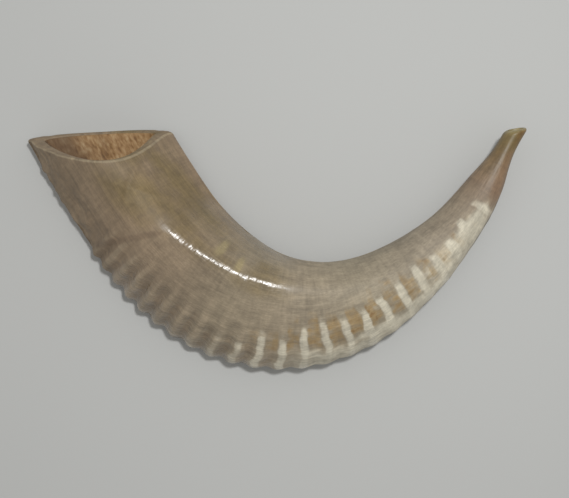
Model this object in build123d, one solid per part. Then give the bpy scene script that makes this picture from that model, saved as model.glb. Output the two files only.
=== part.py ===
"""A ram's horn trumpet (shofar), lying on its flattened side.

The horn is a natural one: a hollow sheath that bends through about 120 degrees, with
growth ridges round the outside of the bend, a keel along its upper side, a tip of
solid horn drilled through to the hollow, and a mouthpiece carved at the tip's end.

+X runs along the span, from the bell to the mouthpiece. +Y points into the hollow of
the bend, the way that the bell opens. +Z is up, and the horn rests on Z = 0.
"""

from build123d import *
import os
from dataclasses import dataclass
from math import cos, pi, radians, sin, sqrt

# ------------------------------------------------------------- driving dimensions
# Lengths are in mm and angles in degrees. A place is a share of the centre line,
# from 0 at the bell to 1 at the end of the tip.

HORN_LENGTH = 304.0  # of the centre line
STEPS_ON_LINE = 600  # straight steps that the centre line is summed over

MOUTH_TILT = 25.5  # the bell's cut leans back from upright by this much
MOUTH_YAW = 3.3  # and turns towards the outside of the bend
MOUTH_SETBACK = 9.0  # from the start of the centre line to the cut, along the cut's normal
MOUTH_HEIGHT = 20.0  # height on the cut where that setback is measured

RIDGES_START = 0.10  # place of the first growth ridge
RIDGE_RATE = 38.8  # ridges along the whole length, at the bell's close spacing
RIDGE_SPREAD = 11.2  # how much that rate falls off towards the tip
RIDGE_SAMPLES = 4  # sections lofted through each ridge

HOLLOW_END = 0.78  # place where the natural hollow stops
LINING_END = HOLLOW_END - 0.08  # place where the rough inner layer stops
LINING_THICKNESS = 0.8
LINING_CLEARANCE = 0.05  # between the wall and the inner layer

BORE_RADIUS = 2.6  # drilled through the solid tip
BORE_START = HOLLOW_END - 0.03  # place where the drilled bore leaves the hollow
CUP_FLARE = 0.8  # how much wider than the bore the mouthpiece's cup ends
CUP_DEPTH = 8.0  # from the middle of the mouthpiece's cut to the throat
LIP_BEARING = 42.0  # the mouthpiece's cut turns this far from the bore, in plan
LIP_RISE = 12.0  # and looks up by this much
LIP_BACK = 3.5  # from the end of the centre line to the middle of the cut
LIP_ROUNDING = 2.0

BELL_END = 0.20  # places where one stretch of the horn gives way to the next
LOWER_END = 0.40
MIDDLE_END = 0.58
UPPER_END = HOLLOW_END - 0.02  # so that the hollow's end is in the solid tip
TIP_END = 0.93

POINTS_AROUND = 40  # spline points on each section's outline
RUN_OUT = 0.15  # how far the lines run on past the horn's two ends, as a place
HALVINGS = 40  # to find where a line of the skin meets a cut
MESH_TOLERANCE = 0.05  # for measuring the finished horn's extent


@dataclass(frozen=True)
class Station:
    """The horn's measures at one place on its centre line.

    A section is an upright outline. Across it, the outside of the bend is positive. Its
    upper edge is a crown that peaks at the keel, and its lower edge is a flatter belly.
    A power of 2 makes an edge round, and a smaller one makes it sharper.
    """

    place: float
    heading: float  # of the centre line in plan, from +X
    half_width: float
    crown: float  # height of the keel over the section's widest level
    belly: float  # depth of the underside below that level
    keel: float  # the keel's place across the section, from -1 inside to 1 outside
    keel_power: float
    outer_power: float
    inner_power: float
    ridge: float  # height of a growth ridge at the outside of the bend
    lift: float  # of the underside over the table
    side_wall: float  # from the skin to the hollow at the section's two edges
    face_wall: float  # and through the crown and the belly
    hollow_outer_power: float
    hollow_inner_power: float


STATIONS = [
    Station(0.00, -60, 36.0, 37, 8, 0.00, 2.0, 1.15, 0.55, 0.0, 0, 8.5, 2.2, 1.25, 0.8),
    Station(0.15, -53, 36.0, 38, 8, -0.15, 1.8, 1.3, 0.9, 2.2, 0, 7.5, 2.4, 1.4, 1.2),
    Station(0.30, -32, 35.0, 36, 8, -0.38, 1.7, 1.5, 1.3, 2.2, 0, 7.0, 2.8, 1.7, 1.6),
    Station(0.45, -1, 30.0, 32, 10, -0.46, 1.8, 1.7, 1.6, 1.2, 0, 7.0, 3.4, 1.8, 1.8),
    Station(0.60, 29, 22.8, 25, 12, -0.25, 1.9, 1.9, 1.8, 0.6, 0, 7.0, 4.5, 1.9, 1.9),
    Station(0.75, 46, 15.0, 16, 12, 0.10, 2.0, 2.0, 2.0, 0.2, 1, 8.5, 8.0, 2.0, 2.0),
    Station(0.88, 60, 9.6, 10, 9, 0.15, 2.0, 2.0, 2.0, 0.0, 5, 8.5, 8.0, 2.0, 2.0),
    Station(0.95, 63, 5.3, 7, 7, 0.00, 2.0, 2.0, 2.0, 0.0, 9, 8.5, 8.0, 2.0, 2.0),
    Station(1.00, 61, 5.2, 7, 7, 0.00, 2.0, 2.0, 2.0, 0.0, 11, 8.5, 8.0, 2.0, 2.0),
]
BELLY_POWER = 2.6  # flattens the underside that the horn lies on


# ------------------------------------------------------------------ the horn's lines


def measure(name, place):
    """Return a station's measure at any place, on a smooth cubic through the stations."""
    places = [station.place for station in STATIONS]
    values = [getattr(station, name) for station in STATIONS]
    spans = [b - a for a, b in zip(places, places[1:])]
    rises = [(b - a) / span for a, b, span in zip(values, values[1:], spans)]
    slopes = [rises[0]]
    for before, after, rise_before, rise_after in zip(spans, spans[1:], rises, rises[1:]):
        slopes.append((rise_before * after + rise_after * before) / (before + after))
    slopes.append(rises[-1])
    place = min(max(place, places[0]), places[-1])
    index = max(i for i in range(len(spans)) if places[i] <= place)
    span = spans[index]
    u = (place - places[index]) / span
    return (
        (1 + 2 * u) * (1 - u) ** 2 * values[index]
        + u * (1 - u) ** 2 * span * slopes[index]
        + u * u * (3 - 2 * u) * values[index + 1]
        + u * u * (u - 1) * span * slopes[index + 1]
    )


def centre_line():
    """Return (place, x, y) along the centre line, with x and y 0 at place 0."""
    step = (1 + 2 * RUN_OUT) / STEPS_ON_LINE
    line = [(-RUN_OUT, 0.0, 0.0)]
    for _ in range(STEPS_ON_LINE):
        place, x, y = line[-1]
        heading = radians(measure("heading", place + step / 2))
        run = HORN_LENGTH * step
        line.append((place + step, x + run * cos(heading), y + run * sin(heading)))
    start_x, start_y = on_line(line, 0.0)
    return [(place, x - start_x, y - start_y) for place, x, y in line]


def on_line(line, place):
    """Return the centre line's x and y at a place."""
    step = line[1][0] - line[0][0]
    index = min(max(int((place - line[0][0]) / step), 0), len(line) - 2)
    start, x0, y0 = line[index]
    share = (place - start) / step
    _, x1, y1 = line[index + 1]
    return x0 + share * (x1 - x0), y0 + share * (y1 - y0)


LINE = centre_line()


def ridge_count(place):
    """Return how many growth ridges lie between the first and a place."""
    run = max(place - RIDGES_START, 0)
    return RIDGE_RATE * run - RIDGE_SPREAD * run * run


def ridge_place(count):
    """Return the place of a ridge's count, a valley where the count is whole."""
    reach = RIDGE_RATE**2 - 4 * RIDGE_SPREAD * count
    return RIDGES_START + (RIDGE_RATE - sqrt(reach)) / (2 * RIDGE_SPREAD)


def ridge_rise(place, across, angle):
    """Return how far a growth ridge stands out of the skin: most at the outer edge."""
    swell = 0.5 - 0.5 * cos(2 * pi * ridge_count(place))
    reach = min(max(across / 0.7, 0), 1) if sin(angle) >= 0 else min(max(across * 2 - 1, 0), 1)
    spread = reach * reach * (3 - 2 * reach)
    return measure("ridge", place) * spread * (swell - 0.5)


def outline(place, angle, inset=None):
    """Return a section's point at an angle, as (across, up) from its widest level.

    inset is None for the skin, and a depth below the wall's inner face for the hollow.
    """
    half_width = measure("half_width", place)
    crown = measure("crown", place)
    belly = measure("belly", place)
    keel = measure("keel", place)
    outer_power = measure("outer_power", place)
    inner_power = measure("inner_power", place)
    if inset is not None:
        half_width -= measure("side_wall", place) + inset
        crown -= measure("face_wall", place) + inset
        belly -= measure("face_wall", place) + inset
        outer_power = measure("hollow_outer_power", place)
        inner_power = measure("hollow_inner_power", place)
    across = cos(angle)
    if sin(angle) < 0:
        up = -belly * sqrt(max(1 - abs(across) ** BELLY_POWER, 0))
    else:
        side = (across - keel) / (1 - keel if across > keel else 1 + keel)
        power = (outer_power * (1 + across) + inner_power * (1 - across)) / 2
        up = crown * max(1 - abs(side) ** measure("keel_power", place), 0) ** (1 / power)
    out = half_width * across
    if inset is None:
        rise = ridge_rise(place, across, angle)
        out += rise * cos(angle)
        up += rise * sin(angle)
    return out, up


def level(place):
    """Return the height of a section's widest level over the table."""
    return measure("belly", place) + measure("lift", place)


def at_section(place, across, up):
    """Return the point of the upright plane square to the centre line at a place."""
    x, y = on_line(LINE, place)
    heading = radians(measure("heading", place))
    return Vector(x + sin(heading) * across, y - cos(heading) * across, level(place) + up)


ANGLES = [2 * pi * count / POINTS_AROUND for count in range(POINTS_AROUND)]


def closed_outline(points):
    """Return the closed smooth outline through some points."""
    even = [float(count) for count in range(len(points) + 1)]
    return Wire([Edge.make_spline(points, periodic=True, parameters=even)])


def section(place, inset=None):
    """Return one upright closed outline of the skin or of the hollow."""
    return closed_outline([at_section(place, *outline(place, angle, inset)) for angle in ANGLES])


def shape(places, inset=None):
    """Return the smooth solid through the sections at some places."""
    return Solid.make_loft([section(place, inset) for place in places])


def spread_places(start, end, count):
    """Return evenly spaced places, both ends included."""
    return [start + (end - start) * index / count for index in range(count + 1)]


def ridged_places(start, end):
    """Return places from start to end that follow every ridge between them."""
    first = ridge_count(start) * RIDGE_SAMPLES
    last = ridge_count(end) * RIDGE_SAMPLES
    steps = max(round(last - first), 1)
    counts = [(first + (last - first) * index / steps) / RIDGE_SAMPLES for index in range(steps)]
    return [ridge_place(count) for count in counts] + [end]


# --------------------------------------------------------------- the cuts and the bore


def mouth_plane():
    """Return the plane of the bell's cut, which looks out of the bell."""
    tilt = radians(MOUTH_TILT)
    yaw = radians(MOUTH_YAW)
    normal = Vector(-sin(yaw) * cos(tilt), cos(yaw) * cos(tilt), sin(tilt))
    return Plane(origin=normal * MOUTH_SETBACK + Vector(0, 0, MOUTH_HEIGHT), z_dir=normal)


def middle(place):
    """Return the middle of a section, halfway between its crown and its belly."""
    return at_section(place, 0, (measure("crown", place) - measure("belly", place)) / 2)


CUP_RADIUS = BORE_RADIUS + CUP_FLARE
BORE_ENTRY = middle(BORE_START)
BORE_EXIT = middle(1.0)
BORE_DIRECTION = (BORE_EXIT - BORE_ENTRY).normalized()
LIP_MIDDLE = BORE_EXIT - BORE_DIRECTION * LIP_BACK


def slanted(direction, bearing, rise):
    """Return a direction turned in plan by a bearing and lifted to a rise over level."""
    turned = direction.rotate(Axis.Z, bearing)
    flat = Vector(turned.X, turned.Y, 0).normalized()
    return flat * cos(radians(rise)) + Vector(0, 0, sin(radians(rise)))


LIP_NORMAL = slanted(BORE_DIRECTION, LIP_BEARING, LIP_RISE)


def lip_place(angle, depth):
    """Return where the skin's line at an angle lies a depth under the lip's cut."""
    low, high = TIP_END, 1.0 + RUN_OUT
    for _ in range(HALVINGS):
        place = (low + high) / 2
        point = at_section(place, *outline(place, angle))
        if (point - LIP_MIDDLE).dot(LIP_NORMAL) < -depth:
            low = place
        else:
            high = place
    return (low + high) / 2


def lip_outline(turn):
    """Return the outline on the lip's rounding, from 0 at its foot to 90 at the cut."""
    depth = LIP_ROUNDING * (1 - sin(radians(turn)))
    inset = LIP_ROUNDING * (1 - cos(radians(turn)))
    centre = LIP_MIDDLE - LIP_NORMAL * depth
    points = []
    for angle in ANGLES:
        place = lip_place(angle, depth)
        point = at_section(place, *outline(place, angle))
        points.append(point + (centre - point).normalized() * inset)
    return closed_outline(points)


def slanting_outline(share):
    """Return an outline of the mouthpiece, from upright at 0 to the lip's foot at 1."""
    points = []
    for angle in ANGLES:
        place = TIP_END + share * (lip_place(angle, LIP_ROUNDING) - TIP_END)
        points.append(at_section(place, *outline(place, angle)))
    return closed_outline(points)


def drilling():
    """Return the bore with its cup, as the solid that is cut away."""
    entry = Plane(origin=BORE_ENTRY, z_dir=BORE_DIRECTION)
    throat = Plane(origin=LIP_MIDDLE - BORE_DIRECTION * CUP_DEPTH, z_dir=BORE_DIRECTION)
    mouth = Plane(origin=LIP_MIDDLE, z_dir=BORE_DIRECTION)
    on_end = (Align.CENTER, Align.CENTER, Align.MIN)
    bore = entry * Cylinder(BORE_RADIUS, (LIP_MIDDLE - BORE_ENTRY).length, align=on_end)
    cup = throat * Cone(BORE_RADIUS, CUP_RADIUS, CUP_DEPTH, align=on_end)
    opening = mouth * Cylinder(CUP_RADIUS, HORN_LENGTH * RUN_OUT, align=on_end)
    return bore + cup + opening


# ------------------------------------------------------------------------- the pieces


def hollow(inset=0.0):
    """Return the natural hollow, run out past the bell's cut."""
    return shape(spread_places(-RUN_OUT, HOLLOW_END, 24), inset)


def bell_flare(core):
    """The bell: its wall from the mouth's cut to the first ridges."""
    places = spread_places(-RUN_OUT, RIDGES_START, 8)[:-1]
    wall = shape(places + ridged_places(RIDGES_START, BELL_END)) - core
    return split(wall, bisect_by=mouth_plane(), keep=Keep.BOTTOM)


def ridged_wall(start, end, core):
    """A stretch of the ridged wall."""
    return shape(ridged_places(start, end)) - core


def solid_tip(core, drilled):
    """The solid horn past the hollow, drilled through."""
    return shape(spread_places(UPPER_END, TIP_END, 8)) - core - drilled


def mouthpiece(drilled):
    """The tip's end, cut on the slant, rounded at its lip and cupped."""
    barrel = Solid.make_loft([slanting_outline(share) for share in spread_places(0, 1, 5)])
    lip = Solid.make_loft([lip_outline(turn) for turn in spread_places(0, 90, 3)])
    return barrel + lip - drilled


def inner_lining():
    """The rough layer that the bone core left on the inside of the wall."""
    places = spread_places(-RUN_OUT, LINING_END, 22)
    layer = shape(places, LINING_CLEARANCE) - hollow(LINING_CLEARANCE + LINING_THICKNESS)
    return split(layer, bisect_by=mouth_plane(), keep=Keep.BOTTOM)


def foot_of(pieces):
    """Return the point under the middle of all the pieces, level with their lowest point."""
    corners = [corner for piece in pieces for corner in piece.tessellate(MESH_TOLERANCE)[0]]
    xs = [corner.X for corner in corners]
    ys = [corner.Y for corner in corners]
    return Vector(
        (min(xs) + max(xs)) / 2, (min(ys) + max(ys)) / 2, min(corner.Z for corner in corners)
    )


def build():
    """Return every piece by its name, and the point that becomes the origin."""
    core = hollow()
    drilled = drilling()
    pieces = {
        "bell_flare": bell_flare(core),
        "lower_ridged_wall": ridged_wall(BELL_END, LOWER_END, core),
        "middle_ridged_wall": ridged_wall(LOWER_END, MIDDLE_END, core),
        "upper_ridged_wall": ridged_wall(MIDDLE_END, UPPER_END, core),
        "solid_tip": solid_tip(core, drilled),
        "mouthpiece": mouthpiece(drilled),
        "inner_lining": inner_lining(),
    }
    origin = foot_of([piece.solid() for piece in pieces.values()])
    return {name: piece.solid().moved(Location(-origin)) for name, piece in pieces.items()}, origin


if __name__ == "__main__":
    os.makedirs("parts", exist_ok=True)
    finished, origin = build()
    for name, piece in finished.items():
        export_step(piece, f"parts/{name}.step")
    print("lip", LIP_MIDDLE - origin, "bore", BORE_DIRECTION, "lip normal", LIP_NORMAL)
    print("bore entry", BORE_ENTRY - origin, "exit", BORE_EXIT - origin)
    print("mouth plane", mouth_plane().origin - origin, mouth_plane().z_dir)
    print("origin", origin)
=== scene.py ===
"""A ram's horn shofar, lying on its flattened side on a pale sheet.

The horn grew as one hollow sheath, so every stretch of it is a surface of the same two
parameters: the place along the centre line, from 0 at the bell to 1 at the tip, and the
angle round a section. An angle of 0 is the outside of the bend and a quarter turn is up.
Lengths are in mm until a mesh is written, and the frame's box puts the horn in its place.
"""

import logging
from dataclasses import dataclass
from enum import Enum

import bpy
import numpy as np
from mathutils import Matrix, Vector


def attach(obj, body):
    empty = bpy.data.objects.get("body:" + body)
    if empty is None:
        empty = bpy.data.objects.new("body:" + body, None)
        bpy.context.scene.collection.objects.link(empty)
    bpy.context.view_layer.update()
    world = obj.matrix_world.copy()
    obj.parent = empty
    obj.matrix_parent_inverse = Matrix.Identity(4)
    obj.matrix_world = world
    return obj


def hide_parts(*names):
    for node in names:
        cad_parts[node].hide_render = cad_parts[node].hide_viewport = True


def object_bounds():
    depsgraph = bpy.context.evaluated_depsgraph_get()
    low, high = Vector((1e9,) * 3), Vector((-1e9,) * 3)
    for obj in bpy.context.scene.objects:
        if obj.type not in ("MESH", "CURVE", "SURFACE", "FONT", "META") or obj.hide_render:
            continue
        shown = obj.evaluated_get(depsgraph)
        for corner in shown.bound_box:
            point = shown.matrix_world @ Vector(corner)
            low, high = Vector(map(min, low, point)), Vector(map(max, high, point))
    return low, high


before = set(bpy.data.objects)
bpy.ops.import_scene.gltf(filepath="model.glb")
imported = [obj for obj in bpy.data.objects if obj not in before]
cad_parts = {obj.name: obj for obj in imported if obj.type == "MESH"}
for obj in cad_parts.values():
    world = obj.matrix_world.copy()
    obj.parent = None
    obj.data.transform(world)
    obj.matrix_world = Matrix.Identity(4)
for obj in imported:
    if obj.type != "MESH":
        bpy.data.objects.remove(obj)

CAD_BOX = [list(corner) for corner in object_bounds()]
MM = 0.001
LOG = logging.getLogger("shofar")
Array = np.ndarray
Span = tuple[float, float]
Stops = tuple[tuple[float, str], ...]
Socket = bpy.types.NodeSocket
AXIS_PRIMES = (73856093, 19349663, 83492791)  # large numbers that keep the hash's axes apart
SEED_PRIME = 2654435761
MIX_FACTOR = 0x45D9F3B


# ------------------------------------------------------------------ small mathematics


def smooth_step(values: Array, low: float, high: float) -> Array:
    """Rise smoothly from 0 at low to 1 at high, with the cubic 3u^2 - 2u^3.

    Args:
        values: Where the step is read.
        low: The value at which the rise starts.
        high: The value at which it ends.

    Returns:
        The height of the step at each value.
    """
    share = np.clip((values - low) / (high - low), 0.0, 1.0)
    return share * share * (3.0 - 2.0 * share)


def window(values: Array, rise: Span, fall: Span) -> Array:
    """Rise smoothly over one span, and fall back to 0 over a later one."""
    return smooth_step(values, *rise) * (1 - smooth_step(values, *fall))


def bump(values: Array, middle: float, width: float) -> Array:
    """A bell curve of height 1: e to the minus square of the distance over the width."""
    return np.exp(-(((values - middle) / width) ** 2))


def hashed(cells: Array, seed: int) -> Array:
    """Mix three whole numbers into one even random value from -1 to 1.

    Args:
        cells: Whole-number points, with x, y and z on the last axis.
        seed: A number that picks one of many such fields.

    Returns:
        One value for each point, the same on each run.
    """
    first, second, third = (cells[..., axis] * prime for axis, prime in enumerate(AXIS_PRIMES))
    mixed = (first ^ second ^ third ^ (seed * SEED_PRIME)) & 0xFFFFFFFF
    for _ in range(2):
        mixed = ((mixed >> 16) ^ mixed) * MIX_FACTOR & 0xFFFFFFFF
    mixed = (mixed >> 16) ^ mixed
    return (mixed & 0xFFFF) / 32767.5 - 1.0


def noise(x: Array, y: Array, z: Array, seed: int, octaves: int = 1) -> Array:
    """Smooth random values: hashed at whole points, blended with the cubic between them.

    Each further octave is twice as fine and half as high.

    Args:
        x: First coordinate, in cells.
        y: Second coordinate, in cells.
        z: Third coordinate, in cells.
        seed: Which field to read.
        octaves: How many layers are summed.

    Returns:
        Values that mostly lie between -1 and 1.
    """
    total = 0.0
    for octave in range(octaves):
        points = np.stack(np.broadcast_arrays(x, y, z), axis=-1) * 2.0**octave
        cells = np.floor(points).astype(np.int64)
        shares = points - cells
        shares = shares * shares * (3.0 - 2.0 * shares)
        for corner in np.ndindex(2, 2, 2):
            weights = np.where(np.array(corner) == 1, shares, 1.0 - shares).prod(axis=-1)
            total = total + weights * hashed(cells + corner, seed + octave) * 0.5**octave
    return total


@dataclass(frozen=True)
class Grain:
    """A field of noise on the horn, with grains of one length and one width in mm."""

    long: float
    wide: float
    seed: int
    octaves: int = 1

    def at(self, place: Array, across: Array, up: Array) -> Array:
        """Read the field at places on the centre line and distances across and up."""
        run, wide = place * FORM.length, self.wide
        return noise(run / self.long, across / wide, up / wide, self.seed, self.octaves)


def unit(vectors: Array) -> Array:
    """Return vectors scaled to a length of 1."""
    return vectors / np.linalg.norm(vectors, axis=-1, keepdims=True)


# ------------------------------------------------------------------ the horn's formula


@dataclass(frozen=True)
class Station:
    """The horn's measures at one place on its centre line.

    A section is an upright outline. Its upper edge is a crown that peaks at the keel, and
    its lower edge is a flatter belly. A power of 2 makes an edge round, and a smaller one
    makes it sharper.
    """

    place: float
    heading: float  # of the centre line in plan, from +X
    half_width: float
    crown: float  # height of the keel over the section's widest level
    belly: float  # depth of the underside below that level
    keel: float  # the keel's place across the section, from -1 inside to 1 outside
    keel_power: float
    outer_power: float
    inner_power: float
    ridge: float  # height of a growth ridge at the outside of the bend
    lift: float  # of the underside over the table
    side_wall: float  # from the skin to the hollow at the section's two edges
    face_wall: float  # and through the crown and the belly
    hollow_outer_power: float
    hollow_inner_power: float


STATIONS = (
    Station(0.00, -60, 36.0, 37, 8, 0.00, 2.0, 1.15, 0.55, 0.0, 0, 8.5, 2.2, 1.25, 0.8),
    Station(0.15, -53, 36.0, 38, 8, -0.15, 1.8, 1.3, 0.9, 2.2, 0, 7.5, 2.4, 1.4, 1.2),
    Station(0.30, -32, 35.0, 36, 8, -0.38, 1.7, 1.5, 1.3, 2.2, 0, 7.0, 2.8, 1.7, 1.6),
    Station(0.45, -1, 30.0, 32, 10, -0.46, 1.8, 1.7, 1.6, 1.2, 0, 7.0, 3.4, 1.8, 1.8),
    Station(0.60, 29, 22.8, 25, 12, -0.25, 1.9, 1.9, 1.8, 0.6, 0, 7.0, 4.5, 1.9, 1.9),
    Station(0.75, 46, 15.0, 16, 12, 0.10, 2.0, 2.0, 2.0, 0.2, 1, 8.5, 8.0, 2.0, 2.0),
    Station(0.88, 60, 9.6, 10, 9, 0.15, 2.0, 2.0, 2.0, 0.0, 5, 8.5, 8.0, 2.0, 2.0),
    Station(0.95, 63, 5.3, 7, 7, 0.00, 2.0, 2.0, 2.0, 0.0, 9, 8.5, 8.0, 2.0, 2.0),
    Station(1.00, 61, 5.2, 7, 7, 0.00, 2.0, 2.0, 2.0, 0.0, 11, 8.5, 8.0, 2.0, 2.0),
)


class Layer(Enum):
    """Which surface of the wall is meant."""

    SKIN = "skin"
    HOLLOW = "hollow"


@dataclass(frozen=True)
class HornForm:
    """The horn's centre line, sections, growth ridges and cuts, in mm and degrees."""

    length: float = 304.0
    run_out: float = 0.15
    steps: int = 600
    belly_power: float = 2.6
    ridges_start: float = 0.10
    ridge_rate: float = 38.8
    ridge_spread: float = 11.2
    mouth_tilt: float = 25.5
    mouth_yaw: float = 3.3
    mouth_setback: float = 9.0
    mouth_height: float = 20.0
    bore_start: float = 0.75
    hollow_end: float = 0.78
    lining_end: float = 0.70
    tip_end: float = 0.93
    bore_radius: float = 2.6
    cup_radius: float = 3.4
    cup_depth: float = 8.0
    lip_bearing: float = 42.0
    lip_rise: float = 12.0
    lip_back: float = 3.5
    halvings: int = 30
    edge_passes: int = 8

    def measure(self, name: str, place: Array) -> Array:
        """Read one of the stations' measures at any place.

        Between two stations it is the cubic that meets both values with a smooth slope;
        a slope is the mean of the two chords beside it, weighted by the far spans.

        Args:
            name: The measure's name.
            place: Places on the centre line.

        Returns:
            The measure at each place.
        """
        places = np.array([station.place for station in STATIONS])
        values = np.array([getattr(station, name) for station in STATIONS], float)
        spans = np.diff(places)
        rises = np.diff(values) / spans
        inner = (rises[:-1] * spans[1:] + rises[1:] * spans[:-1]) / (spans[:-1] + spans[1:])
        slopes = np.concatenate(([rises[0]], inner, [rises[-1]]))
        place = np.clip(place, places[0], places[-1])
        index = np.clip(np.searchsorted(places, place, side="right") - 1, 0, len(spans) - 1)
        span = spans[index]
        u = (place - places[index]) / span
        return (
            (1 + 2 * u) * (1 - u) ** 2 * values[index]
            + u * (1 - u) ** 2 * span * slopes[index]
            + u * u * (3 - 2 * u) * values[index + 1]
            + u * u * (u - 1) * span * slopes[index + 1]
        )

    def line(self) -> tuple[Array, Array, Array]:
        """Sum the heading along the horn into its centre line in plan.

        Returns:
            Places, and x and y there, which are 0 at place 0.
        """
        step = (1 + 2 * self.run_out) / self.steps
        places = -self.run_out + step * np.arange(self.steps + 1)
        heading = np.radians(self.measure("heading", places[:-1] + step / 2))
        run = self.length * step
        x = np.concatenate(([0.0], np.cumsum(run * np.cos(heading))))
        y = np.concatenate(([0.0], np.cumsum(run * np.sin(heading))))
        return places, x - np.interp(0.0, places, x), y - np.interp(0.0, places, y)

    def at_section(self, place: Array, across: Array, up: Array) -> Array:
        """Turn a section's own measures into points.

        The point is the centre line's point, plus the distance across to the right of
        the heading, at the height of the widest level plus the distance up.

        Args:
            place: Places on the centre line.
            across: Distances towards the outside of the bend.
            up: Distances above the section's widest level.

        Returns:
            Points, with x, y and z on the last axis.
        """
        places, line_x, line_y = self.line()
        heading = np.radians(self.measure("heading", place))
        x = np.interp(place, places, line_x) + np.sin(heading) * across
        y = np.interp(place, places, line_y) - np.cos(heading) * across
        z = self.measure("belly", place) + self.measure("lift", place) + up
        return np.stack(np.broadcast_arrays(x, y, z), axis=-1)

    def ridge_count(self, place: Array) -> Array:
        """Count the growth ridges before a place: a rate that falls off along the run."""
        run = np.maximum(place - self.ridges_start, 0.0)
        return self.ridge_rate * run - self.ridge_spread * run * run

    def outline(
        self, place: Array, angle: Array, layer: Layer = Layer.SKIN, inset: float = 0.0
    ) -> tuple[Array, Array]:
        """Return the skin's or the hollow's points, measured within their sections.

        The lower edge is an ellipse with a flattened foot. The upper edge is the crown's
        height times one minus the distance from the keel to a power, all to a power that
        goes smoothly from the inner side's to the outer side's.

        Args:
            place: Places on the centre line.
            angle: Angles round the section.
            layer: The skin, or the hollow under it.
            inset: Depth below the hollow's face.

        Returns:
            Distances across and up.
        """
        half_width = self.measure("half_width", place)
        crown = self.measure("crown", place)
        belly = self.measure("belly", place)
        outer, inner = "outer_power", "inner_power"
        if layer is Layer.HOLLOW:
            half_width = half_width - self.measure("side_wall", place) - inset
            crown = crown - self.measure("face_wall", place) - inset
            belly = belly - self.measure("face_wall", place) - inset
            outer, inner = "hollow_outer_power", "hollow_inner_power"
        keel = self.measure("keel", place)
        across = np.cos(angle)
        outward, inward = self.measure(outer, place), self.measure(inner, place)
        power = outward * (1 + across) + inward * (1 - across)
        side = np.abs(across - keel) / np.where(across > keel, 1 - keel, 1 + keel)
        peak = np.maximum(1 - side ** self.measure("keel_power", place), 0.0)
        top = crown * peak ** (2.0 / power)
        foot = -belly * np.sqrt(np.maximum(1 - np.abs(across) ** self.belly_power, 0.0))
        return half_width * across, np.where(np.sin(angle) < 0, foot, top)

    def softened(self, values: Array) -> Array:
        """Average each point with its neighbours round the section, to round its edges."""
        for _ in range(self.edge_passes):
            values = (np.roll(values, 1, -1) + 2 * values + np.roll(values, -1, -1)) / 4
        return values

    def mouth(self) -> tuple[Array, Array]:
        """Return the middle and the outward normal of the bell's cut."""
        tilt, yaw = np.radians(self.mouth_tilt), np.radians(self.mouth_yaw)
        normal = np.array(
            [-np.sin(yaw) * np.cos(tilt), np.cos(yaw) * np.cos(tilt), np.sin(tilt)]
        )
        return normal * self.mouth_setback + np.array([0, 0, self.mouth_height]), normal

    def middle(self, place: float) -> Array:
        """Return the point halfway between a section's crown and its belly."""
        up = (self.measure("crown", place) - self.measure("belly", place)) / 2
        return self.at_section(np.array(place), np.array(0.0), up)

    def bore(self) -> tuple[Array, Array]:
        """Return a point on the drilled bore's axis, and the way it runs to the lips."""
        start, end = self.middle(self.bore_start), self.middle(1.0)
        return start, unit(end - start)

    def lip(self) -> tuple[Array, Array]:
        """Return the middle and the outward normal of the mouthpiece's cut."""
        _, way = self.bore()
        bearing, rise = np.arctan2(way[1], way[0]), np.radians(self.lip_rise)
        bearing += np.radians(self.lip_bearing)
        flat = np.array([np.cos(bearing), np.sin(bearing), 0.0])
        normal = flat * np.cos(rise) + np.array([0, 0, np.sin(rise)])
        return self.middle(1.0) - way * self.lip_back, normal

    def crossing(
        self,
        angle: Array,
        cut: tuple[Array, Array],
        inside: float,
        beyond: float,
        layer: Layer = Layer.SKIN,
        inset: float = 0.0,
    ) -> Array:
        """Find where each line of a surface meets a cut, by halving the stretch it is in.

        Args:
            angle: Angles of the lines.
            cut: The cut's middle and outward normal.
            inside: A place short of the cut.
            beyond: A place past it.
            layer: Which surface the lines are on.
            inset: Depth below the hollow's face.

        Returns:
            The place on each line.
        """
        centre, normal = cut
        near = np.full_like(angle, inside)
        far = np.full_like(angle, beyond)
        for _ in range(self.halvings):
            place = (near + far) / 2
            across, up = self.outline(place, angle, layer, inset)
            short = (self.at_section(place, across, up) - centre) @ normal < 0
            near, far = np.where(short, place, near), np.where(short, far, place)
        return (near + far) / 2


FORM = HornForm()


# ------------------------------------------------------------------ rows of a surface


@dataclass(frozen=True)
class Rows:
    """Rows of points that run round the horn, with what its finishes need to know."""

    xyz: Array  # rows, points round, 3
    place: Array  # rows, points round
    across: Array  # towards the outside of the bend
    up: Array  # over the widest level
    cut: Array  # 1 where a saw or a file cut the surface, 0 where it grew
    edge: Array  # 1 on the rim's rounded edge, painted pale as a highlight

    def back(self) -> "Rows":
        """Return the same rows in the other order."""
        return Rows(*(getattr(self, name)[::-1] for name in ROW_FIELDS))


ROW_FIELDS = ("xyz", "place", "across", "up", "cut", "edge")


def joined(parts: list[Rows]) -> Rows:
    """Lay some stretches of rows end to end."""
    return Rows(*(np.concatenate([getattr(part, name) for part in parts]) for name in ROW_FIELDS))


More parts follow.
